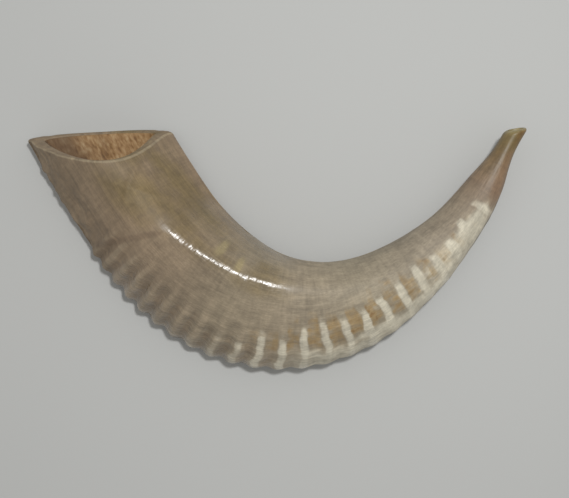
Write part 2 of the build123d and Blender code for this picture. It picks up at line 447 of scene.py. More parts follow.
@dataclass(frozen=True)
class Growth:
    """How a living horn departs from its formula: heights in mm, as they stand out.

    A side is the cosine of the angle, so it is -1 inside the bend and 1 outside it.
    """

    form: HornForm = FORM
    crest_power: float = 0.8  # flattens the crests
    unevenness: float = 0.35  # from one ridge to the next
    upper_reach: Span = (0.0, 0.7)  # sides over which the ridges rise, above and below
    lower_reach: Span = (0.5, 1.0)
    fine_lines: int = 4  # growth lines in each ridge
    fine_height: float = 0.05
    fine_start: Span = (0.0, 0.1)
    fine_end: Span = (0.28, 0.42)
    fine_reach: Span = (-0.4, 0.5)
    lump_height: float = 0.45
    chip_height: float = 1.3  # of the filed edge beside the bell
    chip_end: Span = (0.06, 0.16)
    chip_reach: Span = (0.4, 0.8)
    pit_height: float = 0.08
    fibre_height: float = 0.05
    filed_tip: Span = (0.80, 0.92)
    underside: float = 0.25  # the share of the relief that is left below
    wandering: float = 0.10  # of the ridges, in ridges
    wander: Grain = Grain(30, 9, 3)
    tremble: Grain = Grain(8, 8, 5)
    lumps: Grain = Grain(24, 24, 11, 3)
    chips: Grain = Grain(7, 14, 13, 3)
    pits: Grain = Grain(2.5, 2.5, 17, 2)
    fibres: Grain = Grain(28, 1.1, 23, 2)

    def height(self, place: Array, angle: Array, across: Array, up: Array) -> Array:
        """Sum the ridges, growth lines, lumps, wrinkles and fibres of the skin.

        A ridge is a raised cosine along the horn, flattened at its crest, that stands
        highest at the outside of the bend and fades towards the keel.

        Args:
            place: Places on the centre line.
            angle: Angles round the section.
            across: Distances across.
            up: Distances up.

        Returns:
            The height of the skin over the smooth formula.
        """
        own = (place, across, up)
        side = np.cos(angle)
        above = np.sin(angle) >= 0
        count = self.count(place, across, up)
        crest = swell(count) ** self.crest_power
        reach = np.where(
            above, smooth_step(side, *self.upper_reach), smooth_step(side, *self.lower_reach)
        )
        uneven = 1.0 + self.unevenness * noise(np.floor(count), 0.5, 0.5, 9)
        ridges = self.form.measure("ridge", place) * reach * uneven * (crest - 0.5)
        lines = np.cos(2 * np.pi * count * self.fine_lines + 2 * self.tremble.at(*own))
        lines = self.fine_height * window(place, self.fine_start, self.fine_end) * lines
        lines = lines * (0.3 + 0.7 * smooth_step(side, *self.fine_reach))
        tip = smooth_step(place, *self.filed_tip)
        lumps = (self.lumps.at(*own) - 0.6) * self.lump_height * (1 - 0.6 * tip)
        chips = (self.chips.at(*own) - 0.3) * self.chip_height
        chips = chips * (1 - smooth_step(place, *self.chip_end)) * smooth_step(side, *self.chip_reach)
        pits = self.pits.at(*own) * self.pit_height * (1 - 0.8 * tip)
        beneath = np.where(above, 1.0, self.underside)
        relief = (lumps + chips + pits + self.wrinkles(place, side, above)) * beneath
        return ridges + lines + relief + self.fibres.at(*own) * self.fibre_height

    def count(self, place: Array, across: Array, up: Array) -> Array:
        """Count the ridges before a point: the formula's count, made to wander a little."""
        return self.form.ridge_count(place) + self.wandering * self.wander.at(place, across, up)

    def wrinkles(self, place: Array, side: Array, above: Array) -> Array:
        """Shape the folds on the bell's inner side, as bell curves across slanting lines.

        Args:
            place: Places on the centre line.
            side: The cosine of the angle.
            above: Whether a point is on the upper side.

        Returns:
            The folds' heights.
        """
        inner = window(-side, (-0.25, 0.05), (0.62, 0.85)) * above
        folds = (  # height, slant, middle and width
            (0.9, -0.10, 0.075, 0.008),
            (0.7, 0.13, 0.055, 0.010),
            (0.35, -0.05, 0.230, 0.010),
        )
        raised = sum(
            height * bump(place + slant * side, middle, width)
            for height, slant, middle, width in folds
        )
        hollow = bump(place, 0.055, 0.05) * bump(side, -0.55, 0.22)
        return inner * raised - 1.4 * hollow * above


def swell(count: Array) -> Array:
    """Return 0 between two ridges and 1 on a crest, from a count of the ridges."""
    return 0.5 - 0.5 * np.cos(2 * np.pi * count)


GROWTH = Growth()


@dataclass(frozen=True)
class Lines:
    """The lines that run along the horn, one through each point of a row."""

    around: int = 288
    filed_end: Span = (0.90, 0.96)  # where filing takes off the last of the growth
    pits: Grain = Grain(6, 3, 31, 3)  # of the raw inside, and the streaks between them
    streaks: Grain = Grain(14, 1.2, 37)

    @property
    def angle(self) -> Array:
        """The lines' angles round a section."""
        return 2 * np.pi * np.arange(self.around) / self.around

    def skin(self, place: Array, cut: float = 0.0, rough: float = 1.0) -> Rows:
        """Put rows on the grown skin.

        Growth stands out along the normal of an ellipse with the section's two sizes.

        Args:
            place: Places, one for each point.
            cut: How far the surface is a cut one.
            rough: The share of the growth's height that is left.

        Returns:
            The rows.
        """
        angle = np.broadcast_to(self.angle, place.shape)
        across, up = (FORM.softened(part) for part in FORM.outline(place, angle))
        wide, tall = FORM.measure("half_width", place), FORM.measure("crown", place)
        tall = np.where(np.sin(angle) < 0, FORM.measure("belly", place), tall)
        way = unit(np.stack([np.cos(angle) * tall, np.sin(angle) * wide], axis=-1))
        height = GROWTH.height(place, angle, across, up) * rough
        height = height * (1 - smooth_step(place, *self.filed_end))
        xyz = FORM.at_section(place, across + way[..., 0] * height, up + way[..., 1] * height)
        return Rows(xyz, place, across, up, np.full(place.shape, cut), np.zeros(place.shape))

    def hollow(self, place: Array, inset: float = 0.0, pitting: float = 0.0) -> Rows:
        """Put rows on the hollow's face.

        Args:
            place: Places, one for each point.
            inset: Depth below the face.
            pitting: Height of the rough surface that the bone core left.

        Returns:
            The rows.
        """
        angle = np.broadcast_to(self.angle, place.shape)
        outline = FORM.outline(place, angle, Layer.HOLLOW, inset)
        across, up = (FORM.softened(part) for part in outline)
        rough = self.pits.at(place, across, up) + 0.6 * self.streaks.at(place, across, up)
        inward = unit(np.stack([across, up], axis=-1)) * (rough * pitting)[..., None]
        xyz = FORM.at_section(place, across + inward[..., 0], up + inward[..., 1])
        plain = np.zeros(place.shape)
        return Rows(xyz, place, across, up, plain, plain)

    def ring(self, points: Array, place: float, cut: float) -> Rows:
        """Wrap one ring of points as a row, in a section's own measures.

        Args:
            points: The ring's points.
            place: The place that its finishes read.
            cut: How far the surface there is a cut one.

        Returns:
            One row.
        """
        full = np.full((1, self.around), float(place))
        level = FORM.measure("belly", full) + FORM.measure("lift", full)
        centre = FORM.at_section(full, 0.0 * full, 0.0 * full)
        heading = np.radians(FORM.measure("heading", full))
        offset = points[None] - centre
        across = offset[..., 0] * np.sin(heading) - offset[..., 1] * np.cos(heading)
        up = points[None, :, 2] - level
        return Rows(points[None], full, across, up, full * 0 + cut, full * 0)

    def bore_ring(self, place: float) -> Array:
        """Return the drilled bore's circle where its axis crosses a section's plane."""
        start, way = FORM.bore()
        centre = FORM.at_section(np.array(place), np.array(0.0), np.array(0.0))
        heading = np.radians(FORM.measure("heading", np.array(place)))
        along = np.array([np.cos(heading), np.sin(heading), 0.0])
        middle = start + way * ((centre - start) @ along) / (way @ along)
        across = np.array([np.sin(heading), -np.cos(heading), 0.0])
        turn = self.angle[:, None]
        spoke = np.cos(turn) * across + np.sin(turn) * np.array([0, 0, 1.0])
        return middle + FORM.bore_radius * spoke


LINES = Lines()


CLOSE_SHARE = 0.02  # of a gap, from an end to the row close inside it


def places_between(start: Array | float, end: Array | float, count: int) -> Array:
    """Spread rows evenly between two places, with one more row close inside each end.

    The close rows keep the shading the same on both sides of where two stretches meet.

    Args:
        start: First place, or one for each line.
        end: Last place, or one for each line.
        count: How many gaps there are between even rows.

    Returns:
        A place for each point of each row.
    """
    shares = np.linspace(0.0, 1.0, count + 1)
    close = CLOSE_SHARE / count
    shares = np.concatenate(([0.0, close], shares[1:-1], [1 - close, 1.0]))[:, None]
    start, end = np.broadcast_to(start, LINES.around), np.broadcast_to(end, LINES.around)
    return start + shares * (end - start)


# ------------------------------------------------------------------ finishes


def linear(hexcode: str) -> tuple[float, float, float, float]:
    """Turn an sRGB hex colour into linear red, green, blue and an alpha of 1."""
    parts = np.array([int(hexcode[i : i + 2], 16) for i in (1, 3, 5)]) / 255
    low, high = parts / 12.92, ((parts + 0.055) / 1.055) ** 2.4
    return (*np.where(parts <= 0.04045, low, high).tolist(), 1.0)


class Nodes:
    """A new material's node tree, and short ways to add what both finishes need."""

    def __init__(self, name: str) -> None:
        """Start a material with an empty tree."""
        self.made = bpy.data.materials.new(name)
        self.made.use_nodes = True
        self.tree = self.made.node_tree
        self.tree.nodes.clear()
        self.space = self.add("Attribute", out="Vector", attribute_name="horn_space")

    def add(
        self, kind: str, links: dict | None = None, out: str | int = 0, **settings: object
    ) -> Socket:
        """Add a node, set its properties, and link or set its inputs.

        Args:
            kind: The node's type.
            links: An input's name or number, and the socket or value that it takes.
            out: The name or number of the output that is wanted.
            settings: The node's own properties.

        Returns:
            That output.
        """
        node = self.tree.nodes.new("ShaderNode" + kind)
        for name, value in settings.items():
            setattr(node, name, value)
        for name, value in (links or {}).items():
            if isinstance(value, bpy.types.NodeSocket):
                self.tree.links.new(value, node.inputs[name])
            else:
                node.inputs[name].default_value = value
        return node.outputs[out]

    def mask(self, name: str) -> Socket:
        """Read one of the mesh's masks."""
        return self.add("Attribute", out="Fac", attribute_name=name)

    def product(self, first: Socket, second: Socket | float, **settings: object) -> Socket:
        """Multiply two values."""
        return self.add("Math", {0: first, 1: second}, operation="MULTIPLY", **settings)

    def remap(self, value: Socket, source: Span, target: Span, **settings: object) -> Socket:
        """Carry a value from one span to another, held within it."""
        names = ("From Min", "From Max", "To Min", "To Max")
        limits = dict(zip(names, (*source, *target)))
        return self.add("MapRange", {"Value": value, **limits}, **settings)

    def over(self, share: Socket, colour: Socket, hexcode: str) -> Socket:
        """Lay a share of a plain colour over another."""
        links = {"Factor": share, 6: colour, 7: linear(hexcode)}
        return self.add("Mix", links, out=2, data_type="RGBA")

    def blend(self, share: Socket | float, first: Socket, second: Socket | float) -> Socket:
        """Blend two values."""
        return self.add("Mix", {"Factor": share, 2: first, 3: second}, data_type="FLOAT")

    def field(self, wide: float, long: float, detail: float) -> Socket:
        """Add noise whose grains are wide mm across the horn and long mm along it."""
        scale = (1 / wide, 1 / wide, 1 / long)
        scaled = self.add("Mapping", {"Vector": self.space, "Scale": scale})
        return self.add("TexNoise", {"Vector": scaled, "Scale": 1.0, "Detail": detail}, out="Fac")

    def ramp(self, level: Socket, stops: Stops) -> Socket:
        """Read a ramp of colours."""
        colour = self.add("ValToRGB", {"Fac": level}, out="Color")
        elements = colour.node.color_ramp.elements
        while len(elements) < len(stops):
            elements.new(0.5)
        for element, (position, hexcode) in zip(elements, stops):
            element.position = position
            element.color = linear(hexcode)
        return colour

    def surface(
        self, colour: Socket, roughness: Socket | float, ior: float, height: Socket, relief_mm: float
    ) -> bpy.types.Material:
        """Add the relief, the shader and the output.

        Args:
            colour: The base colour.
            roughness: How matt the surface is.
            ior: Its index of refraction.
            height: The relief's height, as a share of its depth.
            relief_mm: The relief's depth.

        Returns:
            The material.
        """
        relief = {"Strength": 1.0, "Distance": relief_mm * MM, "Height": height}
        links = {"Base Color": colour, "Roughness": roughness, "IOR": ior}
        shader = self.add("BsdfPrincipled", {**links, "Normal": self.add("Bump", relief)})
        end = self.tree.nodes.new("ShaderNodeOutputMaterial")
        self.tree.links.new(shader, end.inputs["Surface"])
        return self.made


@dataclass(frozen=True)
class Tint:
    """A colour that shows where one of the mesh's masks is strong."""

    mask: str
    colour: str
    strength: float = 1.0


@dataclass(frozen=True)
class PolishedHorn:
    """Ram's horn (keratin), filed and buffed: glossy, with fibres and growth lines under it.

    Keratin's index of refraction is 1.54. Buffing leaves the crests smoother than the
    valleys, and a satin mask marks where the wheel did not reach. Fibres run along the
    horn in wider streaks, growth lines cross them, and clouds change slowly over both.
    """

    name: str = "polished_ram_horn"
    ior: float = 1.54
    roughness: Span = (0.17, 0.34)
    satin_roughness: float = 0.66  # where the buffing wheel did not reach
    fibre_mm: float = 0.60  # across one fibre; real ones are finer, drawn coarse to show
    fibre_run_mm: float = 26.0
    streak_mm: float = 2.8  # across the wider streaks that the fibres form
    streak_run_mm: float = 60.0
    growth_mm: float = 1.5  # between growth lines
    growth_reach_mm: float = 16.0
    mottle_mm: float = 5.5
    cloud_mm: float = 17.0  # across the slow changes from pale to dark
    cloud_run_mm: float = 23.8
    speck_mm: float = 0.9
    speck_run_mm: float = 1.8
    fibre_contrast: float = 0.14
    streak_contrast: float = 0.16
    growth_contrast: float = 0.09
    mottle_contrast: float = 0.16
    cloud_contrast: float = 0.15
    speck_contrast: float = 0.098
    fraying: Span = (0.30, 1.22)  # of a tint's edge, where mottling is added to its mask
    relief_mm: float = 0.06
    stops: Stops = (
        (0.00, "#87755e"),
        (0.12, "#8c7962"),
        (0.22, "#8d7c66"),
        (0.32, "#8c7f6a"),
        (0.44, "#978a75"),
        (0.58, "#998e79"),
        (0.72, "#938876"),
        (0.81, "#8f826f"),
        (0.87, "#806e5a"),
        (0.94, "#76623f"),
        (1.00, "#847548"),
    )
    tints: tuple[Tint, ...] = (
        # olive of the inner flank, plus a patch of painted shade near the bell
        Tint("olive_and_shade", "#6f5f3c", 0.80),
        Tint("straw", "#a5966f", 0.70),
        # painted highlight on the ridges' crests near the bell
        Tint("crest_highlight", "#a3937b", 0.50),
        # painted shade in the valleys between the ridges
        Tint("valley_shade", "#6f5c46", 0.50),
        Tint("stripe", "#5d4a3a", 0.34),
        Tint("ivory", "#cbc4b0", 0.95),
        Tint("tan", "#9b8259", 0.85),
        Tint("rust", "#80623c", 0.70),
        Tint("rose", "#8b6c52", 0.50),
        # painted shade along the outer edge of the tip's limb
        Tint("painted_edge_shade", "#6e6a61", 0.75),
        Tint("amber", "#75572a", 0.90),
        # painted highlight along the bell rim's rounded edge
        Tint("edge", "#a3957b", 0.60),
        Tint("cut", "#968a63", 0.90),
    )

    def material(self) -> bpy.types.Material:
        """Build the finish's nodes.

        The colour starts from a ramp along the horn, each tint is laid over it where its
        mask is strong, and fibres, growth lines and mottling then darken or lighten it.

        Returns:
            The material.
        """
        nodes = Nodes(self.name)
        fibre = nodes.field(self.fibre_mm, self.fibre_run_mm, 4.0)
        growth = nodes.field(self.growth_reach_mm, self.growth_mm, 3.0)
        mottle = nodes.field(self.mottle_mm, self.mottle_mm, 5.0)
        speck = nodes.field(self.speck_mm, self.speck_run_mm, 2.0)
        cloud = nodes.field(self.cloud_mm, self.cloud_run_mm, 3.0)
        streak = nodes.field(self.streak_mm, self.streak_run_mm, 3.0)
        colour = nodes.ramp(nodes.mask("place"), self.stops)
        for tint in self.tints:
            mask = nodes.mask(tint.mask)
            frayed = nodes.add("Math", {0: mottle, 1: 0.5, 2: mask}, operation="MULTIPLY_ADD")
            strength = (0.0, tint.strength)
            edged = nodes.remap(frayed, self.fraying, strength, interpolation_type="SMOOTHSTEP")
            some = nodes.product(mask, 2.0, use_clamp=True)
            colour = nodes.over(nodes.product(edged, some), colour, tint.colour)
        for field, contrast in (
            (fibre, self.fibre_contrast),
            (streak, self.streak_contrast),
            (growth, self.growth_contrast),
            (mottle, self.mottle_contrast),
            (cloud, self.cloud_contrast),
            (speck, self.speck_contrast),
        ):
            level = nodes.remap(field, (0.25, 0.75), (1 - contrast, 1 + contrast))
            colour = nodes.add("VectorMath", {0: colour, "Scale": level}, operation="SCALE")
        heights = nodes.add("Math", {0: fibre, 1: growth}, operation="ADD")
        gloss = nodes.remap(speck, (0.3, 0.75), self.roughness)
        buffed = nodes.blend(nodes.mask("satin"), gloss, self.satin_roughness)
        return nodes.surface(colour, buffed, self.ior, heights, self.relief_mm)


@dataclass(frozen=True)
class RawHorn:
    """The inside of the horn as the bone core left it: ochre, fibrous, pitted and dull."""

    name: str = "raw_inner_horn"
    ior: float = 1.54
    roughness: float = 0.72
    blotch_mm: float = 9.0
    flake_mm: float = 1.6
    flake_run_mm: float = 4.5
    flake_share: float = 0.55
    relief_mm: float = 0.35
    shade_colour: str = "#4a3420"
    shade_strength: float = 0.70  # painted shade inside the bell, strongest along the outside of the bend
    stops: Stops = (
        (0.30, "#5d4226"),
        (0.42, "#86633a"),
        (0.52, "#a17f55"),
        (0.62, "#b79a72"),
        (0.74, "#cdb793"),
    )
    def material(self) -> bpy.types.Material:
        """Build the finish: blotches, broken up by flakes along the horn, and painted shade towards
        the outside of the bend.

        Returns:
            The material.
        """
        nodes = Nodes(self.name)
        blotch = nodes.field(self.blotch_mm, self.blotch_mm, 5.0)
        flake = nodes.field(self.flake_mm, self.flake_run_mm, 5.0)
        colour = nodes.ramp(nodes.blend(self.flake_share, blotch, flake), self.stops)
        # painted shade laid over the inside's colour, darker towards the outside of the bend
        share = nodes.product(nodes.mask("painted_hollow_shade"), self.shade_strength)
        shaded = nodes.over(share, colour, self.shade_colour)
        return nodes.surface(shaded, self.roughness, self.ior, flake, self.relief_mm)


# ------------------------------------------------------------------ where colours show


@dataclass(frozen=True)
class Skin:
    """What the colours read at each point."""

    place: Array
    share: Array  # across the section: 0 at the inside of the bend, 1 at the outside
    wave: Array  # noise about a centimetre long, which bends the colours' edges
    fleck: Array  # noise a few mm long, which frays them
    drift: Array  # noise that changes slowly along the horn
    swell: Array  # 0 between two ridges, 1 on a crest
    own: Array  # a random value for each ridge


@dataclass(frozen=True)
class Colouring:
    """Where the horn's growth and its cutting brought each colour to the surface.

    Ivory shows on the ridges' crests, where filing reached pale horn, and tan is left
    between them. Both start further from the outside the nearer they are to the tip.
    """

    band_places: tuple[float, ...] = (0.0, 0.30, 0.38, 0.46, 0.55, 0.65, 0.75, 0.82, 1.0)
    band_starts: tuple[float, ...] = (0.82, 0.77, 0.69, 0.60, 0.50, 0.45, 0.42, 0.38, 0.36)
    ridge_seed: int = 71
    top_side: Span = (-6.0, -1.0)  # heights over which the skin's top comes in
    waves: Grain = Grain(14, 9, 41, 2)
    flecks: Grain = Grain(4, 2.4, 43, 3)
    drifts: Grain = Grain(45, 30, 47, 2)

    def read(self, rows: Rows) -> Skin:
        """Read the noise and the ridges at each point of some rows."""
        own = (rows.place, rows.across, rows.up)
        wave, fleck, drift = (grain.at(*own) for grain in (self.waves, self.flecks, self.drifts))
        share = 0.5 + 0.5 * rows.across / FORM.measure("half_width", rows.place)
        count = GROWTH.count(*own) + 0.06 * wave + 0.03 * fleck
        ridge = np.stack([np.floor(count).astype(int)] * 3, axis=-1)
        random = hashed(ridge, self.ridge_seed)
        return Skin(rows.place, share, wave, fleck, drift, swell(count), random)

    def banded(self, skin: Skin) -> dict[str, Array]:
        """Colour the ridges towards the tip: ivory on them, tan and rust between them."""
        place, share, wave, fleck, own = skin.place, skin.share, skin.wave, skin.fleck, skin.own
        start = np.interp(place, self.band_places, self.band_starts) + 0.05 * wave + 0.05 * own
        reach = smooth_step(share + 0.03 * fleck, start - 0.10, start + 0.14)
        bands = smooth_step(skin.swell + 0.10 * wave, 0.45, 0.98) * reach
        rim = smooth_step(share + 0.05 * wave + 0.03 * fleck, 0.74, 0.92)
        rim = rim * smooth_step(place, 0.36, 0.50)
        haze = window(place, (0.58, 0.72), (0.80, 0.87)) * bump(share, 0.70, 0.24)
        stretch = smooth_step(place + 0.03 * skin.drift, 0.20, 0.44)
        stretch = stretch * (1 - smooth_step(place, 0.80, 0.88))
        shoulder = bump(place, 0.80, 0.05) * bump(share, 0.70, 0.14)
        ivory = stretch * np.maximum(np.maximum(bands, 0.85 * rim), 0.85 * haze) + shoulder
        between = (1 - smooth_step(skin.swell, 0.40, 0.90)) * smooth_step(place, 0.30, 0.46)
        between = between * (1 - 0.50 * smooth_step(place, 0.62, 0.74))
        inward = smooth_step(share, start - 0.18, start + 0.06)
        inward = inward * (1 - smooth_step(share + 0.04 * wave, 0.74, 0.90))
        patches = between * inward * (1 - smooth_step(place, 0.78, 0.86))
        return {
            "ivory": ivory * (0.86 + 0.22 * wave + 0.12 * fleck),
            "tan": patches * (0.70 + 0.20 * own + 0.40 * fleck),
            "rust": patches * smooth_step(fleck, 0.15, 0.75) * (0.6 + 0.4 * own),
        }

    def early(self, skin: Skin) -> dict[str, Array]:
        """Colour the bell's half: olive and straw flanks, a patch of painted shade, crests painted
        pale as highlights, painted shade in the valleys and one dark stripe.
        """
        place, share = skin.place, skin.share
        near = window(place, (0.08, 0.14), (0.36, 0.50))
        # painted shade: darkens the valleys between the ridges near the outside
        valley_shade = near * (1 - smooth_step(skin.swell, 0.1, 0.6)) * smooth_step(share, 0.62, 0.9)
        flank = smooth_step(-share, -0.50, -0.30) * (1 - 0.7 * smooth_step(-share, -0.14, -0.02))
        # painted shade: darkens a patch near the bell where the lamp's sheen falls
        corner = bump(place, 0.05, 0.09) * bump(share, 0.48, 0.20)
        olive_and_shade = (1 - smooth_step(place + 0.04 * skin.drift, 0.30, 0.52)) * (flank + corner)
        straw = bump(place, 0.262, 0.012) * bump(share, 0.20, 0.08)
        straw = straw + bump(place, 0.312, 0.010) * bump(share, 0.23, 0.07)
        stripe_line = 0.114 + (0.87 - share) * 0.11
        return {
            "olive_and_shade": olive_and_shade * (0.85 + 0.5 * skin.drift + 0.2 * skin.wave),
            "straw": straw,
            # painted highlight: lightens the crests of the ridges near the bell
            "crest_highlight": near * smooth_step(skin.swell, 0.5, 0.95) * smooth_step(share, 0.55, 0.85),
            "valley_shade": valley_shade * (0.8 + 0.4 * skin.fleck),
            "stripe": bump(place, stripe_line, 0.007) * window(share, (0.38, 0.5), (0.9, 1.0)),
        }

    def tip(self, skin: Skin) -> dict[str, Array]:
        """Colour the tip: rose before the mouthpiece, painted shade along the outer edge, amber at its
        end.
        """
        place, share = skin.place, skin.share
        rose = window(place, (0.83, 0.89), (0.93, 0.97))
        # painted shade along the outer edge, where the skin turns under
        painted_edge_shade = bump(place, 0.835, 0.035) * smooth_step(share, 0.90, 0.99)
        # a longer strip of painted shade along the outer edge of the limb
        edge = smooth_step(share, 0.95, 1.0) * window(place, (0.55, 0.70), (0.86, 0.9))
        return {
            "rose": rose * (0.35 + 0.65 * smooth_step(share, 0.45, 0.75)),
            "painted_edge_shade": painted_edge_shade + 0.6 * edge,
            "amber": smooth_step(place, 0.93, 0.99) * smooth_step(share, 0.35, 0.8),
        }

    def satin(self, skin: Skin) -> Array:
        """Return 1 where the skin stayed dull: all but the keel, some crests and the tip."""
        keel = window(skin.place, (0.13, 0.18), (0.38, 0.48))
        crests = window(skin.place, (0.20, 0.30), (0.74, 0.80)) * smooth_step(skin.swell, 0.5, 0.9)
        crests = crests * smooth_step(skin.share, 0.60, 0.66)
        crests = crests * smooth_step(skin.wave + 0.4 * skin.own, 0.0, 0.5)
        tip = 0.5 * smooth_step(skin.place, 0.84, 0.90)
        return 1 - np.maximum(np.maximum(keel, crests), tip)

    def masks(self, rows: Rows) -> dict[str, Array]:
        """Work out each mask, from 0 where its colour is absent to 1 where it is full.

        Args:
            rows: The rows to colour.

        Returns:
            A mask for each tint's name, the satin, and the painted shade of the raw inside.
        """
        skin = self.read(rows)
        masks = {**self.banded(skin), **self.early(skin), **self.tip(skin)}
        masks["ivory"] = masks["ivory"] * smooth_step(rows.up, *self.top_side)
        masks |= {"cut": rows.cut, "edge": rows.edge, "satin": self.satin(skin)}
        # painted shade: darkens the raw inside towards the outside of the bend
        masks["painted_hollow_shade"] = smooth_step(skin.share + 0.10 * skin.wave, 0.50, 0.80)
        return {name: np.clip(mask, 0.0, 1.0) for name, mask in masks.items()}


COLOURING = Colouring()


# ------------------------------------------------------------------ pieces


def closed_piece(name: str, rows: Rows, shift: Array, creases: tuple[int, ...]) -> bpy.types.Object:
    """Make a mesh whose rows close into a ring, as do the points of each row.

    Args:
        name: The piece's name.
        rows: Its rows, out along the skin and back along the inside.
        shift: From the formula's own origin to the frame's, in mm.
        creases: Rows where the surface turns a sharp corner.

    Returns:
        The piece, at the origin, with its place in its mesh.
    """
    count, around = rows.place.shape
    row, column = np.meshgrid(np.arange(count), np.arange(around), indexing="ij")
    next_row, next_column = (row + 1) % count, (column + 1) % around
    corners = ((row, column), (next_row, column), (next_row, next_column), (row, next_column))
    faces = np.stack([first * around + second for first, second in corners], axis=-1).reshape(-1, 4)
    mesh = bpy.data.meshes.new(name)
    points = (rows.xyz + shift).reshape(-1, 3)
    points[:, 2] = np.maximum(points[:, 2], 0.0)
    mesh.from_pydata((points * MM).tolist(), [], faces.tolist())
    mesh.polygons.foreach_set("use_smooth", np.ones(len(faces), bool))
    ends = np.empty(len(mesh.edges) * 2, np.int32)
    mesh.edges.foreach_get("vertices", ends)
    edge_rows = ends.reshape(-1, 2) // around
    sharp = (edge_rows[:, 0] == edge_rows[:, 1]) & np.isin(edge_rows[:, 0], np.array(creases) % count)
    mesh.attributes.new("sharp_edge", "BOOLEAN", "EDGE").data.foreach_set("value", sharp)
    own = np.stack([rows.across, rows.up, rows.place * FORM.length], axis=-1).astype(np.float32)
    mesh.attributes.new("horn_space", "FLOAT_VECTOR", "POINT").data.foreach_set("vector", own.ravel())
    fields = {"place": rows.place, **COLOURING.masks(rows)}
    for field, values in fields.items():
        written = mesh.attributes.new(field, "FLOAT", "POINT")
        written.data.foreach_set("value", values.astype(np.float32).ravel())
    mesh.update()
    piece = bpy.data.objects.new(name, mesh)
    bpy.context.scene.collection.objects.link(piece)
    return piece


def dress(piece: bpy.types.Object, material: bpy.types.Material, node: str) -> None:
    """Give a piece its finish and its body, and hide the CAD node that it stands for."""
    piece.data.materials.append(material)
    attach(piece, "root")
    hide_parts(node)
    LOG.info("%s: %d faces", piece.name, len(piece.data.polygons))


class Piece:
    """One closed piece of the horn, which takes a CAD node's place."""

    name: str
    node: str
    slot: str

    def surface(self) -> tuple[list[Rows], tuple[int, ...]]:
        """Lay the piece's rows.

        Returns:
            Its stretches of rows, and the rows where the surface turns a sharp corner.
        """
        raise NotImplementedError

    def build(self, shift: Array, finish: bpy.types.Material) -> bpy.types.Object:
        """Make the piece and dress it.

        Args:
            shift: From the formula's own origin to the frame's, in mm.
            finish: The piece's material.

        Returns:
            The piece.
        """
        stretches, creases = self.surface()
        piece = closed_piece(self.name, joined(stretches), shift, creases)
        dress(piece, finish, self.node)
        return piece


@dataclass(frozen=True)
class BellFlare(Piece):
    """The bell: its wall from the mouth's cut, eased at both edges, to the first ridges."""

    end: float = 0.20
    rounding: float = 1.1
    wear: float = 0.5  # how unevenly the rim was filed
    cut_tone: float = 0.16  # how much the rim shows the cut's own colour
    skin_rows: int = 230
    hollow_rows: int = 30
    rim_rows: int = 5
    name: str = "horn_bell"
    node: str = "bell_flare"
    slot: str = "bell_horn"

    def rim(self, edge: Layer, turn: float) -> Rows:
        """Return one row of the rim's easing, from 0 at its foot to 90 on the cut.

        Args:
            edge: The rim's outer edge, on the skin, or its inner one, on the hollow.
            turn: How far round the quarter circle the row is, in degrees.

        Returns:
            The row.
        """
        depth = self.rounding * (1 - np.sin(np.radians(turn)))
        inset = self.rounding * (1 - np.cos(np.radians(turn)))
        skin, hollow = self.at_mouth(Layer.SKIN, depth), self.at_mouth(Layer.HOLLOW, depth)
        here, there = (skin, hollow) if edge is Layer.SKIN else (hollow, skin)
        xyz = here.xyz + unit(there.xyz - here.xyz) * inset
        # painted highlight: the skin side of the rim's rounding is painted pale, most at its middle
        rim_highlight = here.edge + (np.sin(np.radians(2 * turn)) if edge is Layer.SKIN else 0.0)
        cut = here.cut + self.cut_tone * turn / 90
        return Rows(xyz, here.place, here.across, here.up, cut, rim_highlight)

    def at_mouth(self, layer: Layer, depth: float) -> Rows:
        """Return a row of a surface at a depth below the mouth's cut."""
        centre, normal = FORM.mouth()
        angle = LINES.angle
        filed = self.wear * noise(3 * np.cos(angle), 3 * np.sin(angle), 0.5, 51, 3)
        place = FORM.crossing(angle, (centre - normal * depth, normal), self.end, -FORM.run_out, layer)
        place = place + (np.maximum(filed, 0.0) / FORM.length)
        return LINES.skin(place[None]) if layer is Layer.SKIN else LINES.hollow(place[None])

    def surface(self) -> tuple[list[Rows], tuple[int, ...]]:
        """Lay the bell: out along the skin, back along the hollow, round the rim."""
        foot = self.at_mouth(Layer.SKIN, self.rounding).place[0]
        inner_foot = self.at_mouth(Layer.HOLLOW, self.rounding).place[0]
        skin = LINES.skin(places_between(foot, self.end, self.skin_rows))
        hollow = LINES.hollow(places_between(inner_foot, self.end, self.hollow_rows)).back()
        turns = np.linspace(0, 90, self.rim_rows + 1)[1:]
        up_inner = [self.rim(Layer.HOLLOW, turn) for turn in turns]
        down_outer = [self.rim(Layer.SKIN, turn) for turn in turns[::-1]]
        last_skin = len(skin.place) - 1
        return [skin, hollow, *up_inner, *down_outer], (last_skin, last_skin + 1)


@dataclass(frozen=True)
class RidgedWall(Piece):
    """A stretch of the horn's ridged wall, between two sections."""

    name: str
    node: str
    start: float
    end: float
    skin_rows: int
    hollow_rows: int = 14
    slot: str = "ridged_horn"

    def surface(self) -> tuple[list[Rows], tuple[int, ...]]:
        """Lay the stretch: out along the skin and back along the hollow."""
        skin = LINES.skin(places_between(self.start, self.end, self.skin_rows))
        hollow = LINES.hollow(places_between(self.start, self.end, self.hollow_rows)).back()
        last_skin = len(skin.place) - 1
        return [skin, hollow], (0, last_skin, last_skin + 1, -1)


